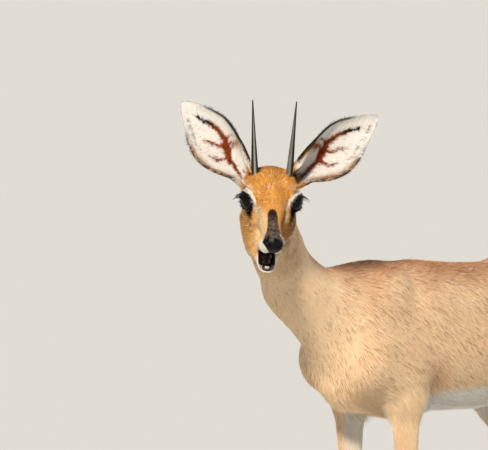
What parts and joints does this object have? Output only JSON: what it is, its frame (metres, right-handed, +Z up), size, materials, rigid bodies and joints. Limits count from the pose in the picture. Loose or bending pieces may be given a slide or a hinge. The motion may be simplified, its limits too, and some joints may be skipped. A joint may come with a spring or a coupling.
{
  "type": "steenbok",
  "caption": "Life-size standing steenbok ram looking over its left side, mouth open, with upright spike horns and large spread ears.",
  "frame": {"origin": "on the floor, under the middle of the whole animal's box", "axes": "+X where the body faces, +Y the animal's left side, +Z up"},
  "size_m": [0.6922, 0.1902, 0.691],
  "materials": {
    "coat": "short sleek rufous hair over skin",
    "coat_pale": "short white hair over skin",
    "ear": "thin skin, white hair inside and brown hair outside",
    "eye": "wet dark eye, glossy",
    "horn": "dark keratin, ringed at the root and smooth above",
    "hoof": "dark keratin, satin",
    "tongue": "moist pink skin",
    "tooth": "enamel, glossy"
  },
  "bodies": {
    "root": {"torso": "coat", "neck": "coat", "head": "coat", "lower_jaw": "coat_pale", "foreleg_left": "coat", "foreleg_right": "coat", "hindleg_left": "coat", "hindleg_right": "coat", "tail": "coat", "ear_left": "ear", "ear_right": "ear", "eye_left": "eye", "eye_right": "eye", "horn_left": "horn", "horn_right": "horn", "tongue": "tongue", "lower_teeth": "tooth", "hoof_fore_left_inner": "hoof", "hoof_fore_left_outer": "hoof", "hoof_fore_right_inner": "hoof", "hoof_fore_right_outer": "hoof", "hoof_hind_left_inner": "hoof", "hoof_hind_left_outer": "hoof", "hoof_hind_right_inner": "hoof", "hoof_hind_right_outer": "hoof"}
  },
  "joints": []
}
